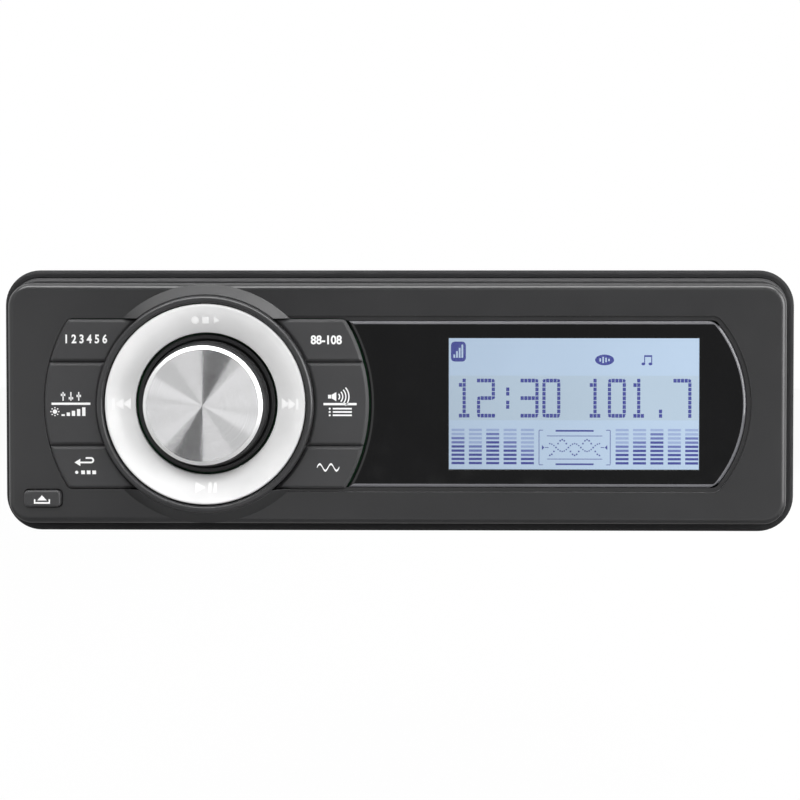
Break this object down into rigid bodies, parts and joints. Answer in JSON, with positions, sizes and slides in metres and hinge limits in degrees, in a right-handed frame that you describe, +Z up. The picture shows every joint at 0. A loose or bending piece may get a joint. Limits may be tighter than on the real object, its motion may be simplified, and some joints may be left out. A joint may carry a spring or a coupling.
{
  "type": "motorcycle stereo",
  "caption": "Sealed slot-mounted stereo with a fold-down face, keys round a rocker ring and push knob, a lit display window, and a media locker behind the face.",
  "frame": {"origin": "middle of the mounting plane, at the back of the flange gasket", "axes": "+X to the rider's right along the face, +Y back into the dashboard, +Z up"},
  "size_m": [0.1948, 0.1715, 0.0644],
  "materials": {
    "frame_plastic": "fine grain",
    "gasket_rubber": "matte",
    "tray_plastic": "matte",
    "foam": "soft",
    "black_plastic": "satin",
    "zinc_steel": "zinc plated",
    "heat_sink": "black anodised",
    "steel_parts": "plated",
    "antenna_metal": "nickel plated",
    "white_plastic": "satin",
    "contact_brass": "plated",
    "fuse_blue": "clear",
    "circuit_board": "solder mask",
    "chip_plastic": "matte",
    "capacitor": "sleeve",
    "copper": "enamelled",
    "face_plastic": "fine grain",
    "cover_plastic": "matte",
    "window": "polished",
    "display": "lit",
    "light_guide": "clear",
    "key_rubber": "soft touch",
    "switches": "satin",
    "ring_silver": "satin chrome",
    "knob_dark": "satin",
    "knob_aluminium": "spun",
    "button_plastic": "fine grain",
    "latch_plastic": "satin"
  },
  "bodies": {
    "chassis": {"front_frame": "frame_plastic", "flange_gasket": "gasket_rubber", "door_seal": "gasket_rubber", "media_tray": "tray_plastic", "locker_pad": "foam", "aux_jack": "black_plastic", "frame_connector": "black_plastic", "chassis_tray": "zinc_steel", "top_cover": "zinc_steel", "rear_panel": "zinc_steel", "heat_sink": "heat_sink", "rear_stud": "steel_parts", "antenna_socket": "antenna_metal", "harness_socket": "white_plastic", "harness_pins": "contact_brass", "fuse_holder": "black_plastic", "blade_fuse": "fuse_blue", "main_board": "circuit_board", "board_standoffs": "steel_parts", "amplifier_chip": "chip_plastic", "filter_capacitors": "capacitor", "power_choke": "copper", "tuner_can": "steel_parts", "processor_chip": "chip_plastic", "cover_screws": "steel_parts", "rear_screws": "steel_parts", "frame_screws": "steel_parts", "heat_sink_screws": "steel_parts", "board_screws": "steel_parts"},
    "face": {"face_panel": "face_plastic", "face_back_cover": "cover_plastic", "display_window": "window", "lcd_glass": "display", "lcd_light_guide": "light_guide", "lcd_frame": "white_plastic", "face_board": "circuit_board", "keypad_mat": "key_rubber", "tact_switches": "switches", "encoder_body": "steel_parts", "knob_sleeve": "black_plastic", "hinge_pins": "steel_parts", "face_screws": "steel_parts", "face_connector": "black_plastic", "latch_spring": "steel_parts"},
    "gimbal": {"gimbal_ring": "black_plastic"},
    "rocker": {"rocker_carrier": "black_plastic", "rocker_trim": "ring_silver"},
    "plunger": {"encoder_plunger": "steel_parts"},
    "knob": {"encoder_shaft": "steel_parts", "knob_body": "knob_dark", "knob_cap": "knob_aluminium"},
    "release": {"release_button": "button_plastic"},
    "latch": {"latch_bar": "latch_plastic"},
    "key_upper_left": {"key_upper_left": "key_rubber"},
    "key_middle_left": {"key_middle_left": "key_rubber"},
    "key_lower_left": {"key_lower_left": "key_rubber"},
    "key_upper_right": {"key_upper_right": "key_rubber"},
    "key_middle_right": {"key_middle_right": "key_rubber"},
    "key_lower_right": {"key_lower_right": "key_rubber"}
  },
  "joints": [
    {"name": "face_hinge", "type": "hinge", "parent": "chassis", "child": "face", "pos_m": [0, -0.0098, -0.0272], "axis": [1, 0, 0], "range_deg": [0, 95]},
    {"name": "rocker_up_down", "type": "hinge", "parent": "face", "child": "gimbal", "pos_m": [-0.0459, -0.0146, 0], "axis": [1, 0, 0], "range_deg": [-1.5, 1.5], "stiffness_Nm_per_rad": 1.2},
    {"name": "rocker_left_right", "type": "hinge", "parent": "gimbal", "child": "rocker", "pos_m": [-0.0459, -0.0146, 0], "axis": [0, 0, 1], "range_deg": [-1.5, 1.5], "stiffness_Nm_per_rad": 1.2},
    {"name": "knob_push", "type": "slide", "parent": "face", "child": "plunger", "axis": [0, 1, 0], "range_m": [0, 0.0005], "stiffness_N_per_m": 6000},
    {"name": "knob_turn", "type": "hinge", "parent": "plunger", "child": "knob", "pos_m": [-0.0459, 0, 0], "axis": [0, 1, 0], "continuous": true},
    {"name": "release_press", "type": "slide", "parent": "face", "child": "release", "axis": [0, 1, 0], "range_m": [0, 0.0022], "stiffness_N_per_m": 900},
    {"name": "latch_slide", "type": "slide", "parent": "face", "child": "latch", "axis": [1, 0, 0], "range_m": [0, 0.0022], "stiffness_N_per_m": 500, "deforming": ["latch_spring"]},
    {"name": "key_upper_left_press", "type": "slide", "parent": "face", "child": "key_upper_left", "axis": [0, 1, 0], "range_m": [0, 0.0006], "stiffness_N_per_m": 2500},
    {"name": "key_middle_left_press", "type": "slide", "parent": "face", "child": "key_middle_left", "axis": [0, 1, 0], "range_m": [0, 0.0006], "stiffness_N_per_m": 2500},
    {"name": "key_lower_left_press", "type": "slide", "parent": "face", "child": "key_lower_left", "axis": [0, 1, 0], "range_m": [0, 0.0006], "stiffness_N_per_m": 2500},
    {"name": "key_upper_right_press", "type": "slide", "parent": "face", "child": "key_upper_right", "axis": [0, 1, 0], "range_m": [0, 0.0006], "stiffness_N_per_m": 2500},
    {"name": "key_middle_right_press", "type": "slide", "parent": "face", "child": "key_middle_right", "axis": [0, 1, 0], "range_m": [0, 0.0006], "stiffness_N_per_m": 2500},
    {"name": "key_lower_right_press", "type": "slide", "parent": "face", "child": "key_lower_right", "axis": [0, 1, 0], "range_m": [0, 0.0006], "stiffness_N_per_m": 2500}
  ],
  "couplings": [
    {"joint": "latch_slide", "follows": "release_press", "ratio": 1}
  ]
}
